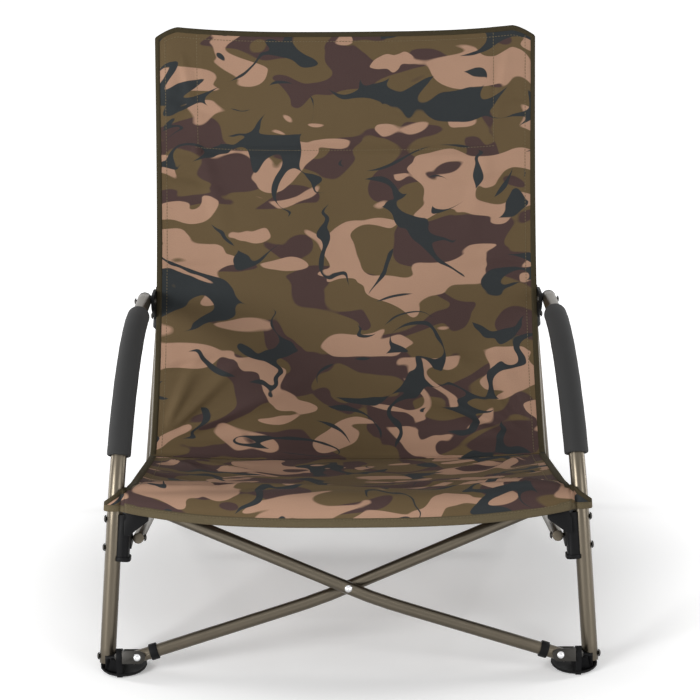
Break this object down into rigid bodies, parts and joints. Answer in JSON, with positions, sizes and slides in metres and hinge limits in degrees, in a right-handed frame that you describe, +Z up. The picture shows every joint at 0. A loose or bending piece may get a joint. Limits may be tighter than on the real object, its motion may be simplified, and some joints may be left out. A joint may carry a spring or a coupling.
{
  "type": "low folding camp chair",
  "caption": "Low folding fishing chair: a camouflage sling seat and back on a tube frame with curved foam-gripped arms, crossed front tubes and dished feet.",
  "frame": {"origin": "on the floor, at the middle of the outline's base", "axes": "+Z up, -Y the way a sitter faces, +X to the right as seen from the front"},
  "size_m": [0.6282, 0.585, 0.7245],
  "materials": {
    "painted_tube": "satin olive-brown paint",
    "bright_rivet": "bright",
    "black_plastic": "matt moulded",
    "grip_foam": "matt closed-cell foam",
    "chair_cloth": "woven polyester with a camouflage print"
  },
  "bodies": {
    "left_frame": {"arm_tube_left": "painted_tube", "foam_grip_left": "grip_foam", "arm_end_cap_left": "black_plastic", "arm_bracket_left": "black_plastic", "arm_pin_left": "bright_rivet", "rear_leg_pin_left": "bright_rivet", "back_post_left": "painted_tube", "post_cap_left": "black_plastic", "post_shoe_left": "black_plastic", "post_shoe_rivet_left": "bright_rivet", "rear_leg_left": "painted_tube", "side_strut_left": "painted_tube", "front_foot_left": "black_plastic", "front_foot_rivet_left": "bright_rivet", "rear_foot_left": "black_plastic", "rear_leg_rivet_left": "bright_rivet", "strut_rear_rivet_left": "bright_rivet", "corner_bracket_left": "black_plastic", "bracket_rivet_upper_left": "bright_rivet", "bracket_rivet_lower_left": "bright_rivet", "strut_pin_left": "bright_rivet", "seat_corner_wrap_left": "chair_cloth", "tilt_pin_left": "bright_rivet", "back_cloth": "chair_cloth"},
    "clevis_left": {"foot_clevis_left": "painted_tube", "clevis_pin_left": "bright_rivet"},
    "cross_left": {"cross_tube_left": "painted_tube", "cross_collar_left": "black_plastic", "cross_top_pin_right": "bright_rivet", "centre_rivet": "bright_rivet"},
    "cross_right": {"cross_tube_right": "painted_tube", "cross_collar_right": "black_plastic", "cross_top_pin_left": "bright_rivet"},
    "clevis_right": {"foot_clevis_right": "painted_tube", "clevis_pin_right": "bright_rivet"},
    "right_frame": {"arm_tube_right": "painted_tube", "foam_grip_right": "grip_foam", "arm_end_cap_right": "black_plastic", "arm_bracket_right": "black_plastic", "arm_pin_right": "bright_rivet", "rear_leg_pin_right": "bright_rivet", "back_post_right": "painted_tube", "post_cap_right": "black_plastic", "post_shoe_right": "black_plastic", "post_shoe_rivet_right": "bright_rivet", "rear_leg_right": "painted_tube", "side_strut_right": "painted_tube", "front_foot_right": "black_plastic", "front_foot_rivet_right": "bright_rivet", "rear_foot_right": "black_plastic", "rear_leg_rivet_right": "bright_rivet", "strut_rear_rivet_right": "bright_rivet", "corner_bracket_right": "black_plastic", "bracket_rivet_upper_right": "bright_rivet", "bracket_rivet_lower_right": "bright_rivet", "strut_pin_right": "bright_rivet", "seat_corner_wrap_right": "chair_cloth", "tilt_pin_right": "bright_rivet"},
    "seat": {"seat_cloth": "chair_cloth"}
  },
  "joints": [
    {"name": "fold", "type": "hinge", "parent": "clevis_left", "child": "cross_left", "pos_m": [-0.261, -0.279, 0.026], "axis": [0, -0.9455, 0.3256], "range_deg": [0, 36], "deforming": ["seat_cloth", "back_cloth"]},
    {"name": "left_tilt", "type": "hinge", "parent": "left_frame", "child": "clevis_left", "pos_m": [-0.261, -0.279, 0.026], "axis": [1, 0, 0], "range_deg": [-27, 0]},
    {"name": "cross_pivot", "type": "hinge", "parent": "cross_left", "child": "cross_right", "pos_m": [0, -0.25172, 0.10523], "axis": [0, -0.9455, 0.3256], "range_deg": [-72, 0]},
    {"name": "right_foot_pin", "type": "hinge", "parent": "cross_right", "child": "clevis_right", "pos_m": [0.261, -0.279, 0.026], "axis": [0, -0.9455, 0.3256], "range_deg": [0, 36]},
    {"name": "right_tilt", "type": "hinge", "parent": "clevis_right", "child": "right_frame", "pos_m": [0.261, -0.279, 0.026], "axis": [1, 0, 0], "range_deg": [0, 27]},
    {"name": "seat_lift", "type": "hinge", "parent": "left_frame", "child": "seat", "pos_m": [0, 0.105, 0.1395], "axis": [1, 0, 0], "range_deg": [-61.2, 0]}
  ],
  "couplings": [
    {"joint": "left_tilt", "follows": "fold", "ratio": -0.75},
    {"joint": "cross_pivot", "follows": "fold", "ratio": -2},
    {"joint": "right_foot_pin", "follows": "fold", "ratio": 1},
    {"joint": "right_tilt", "follows": "fold", "ratio": 0.75},
    {"joint": "seat_lift", "follows": "fold", "ratio": -1.7}
  ]
}
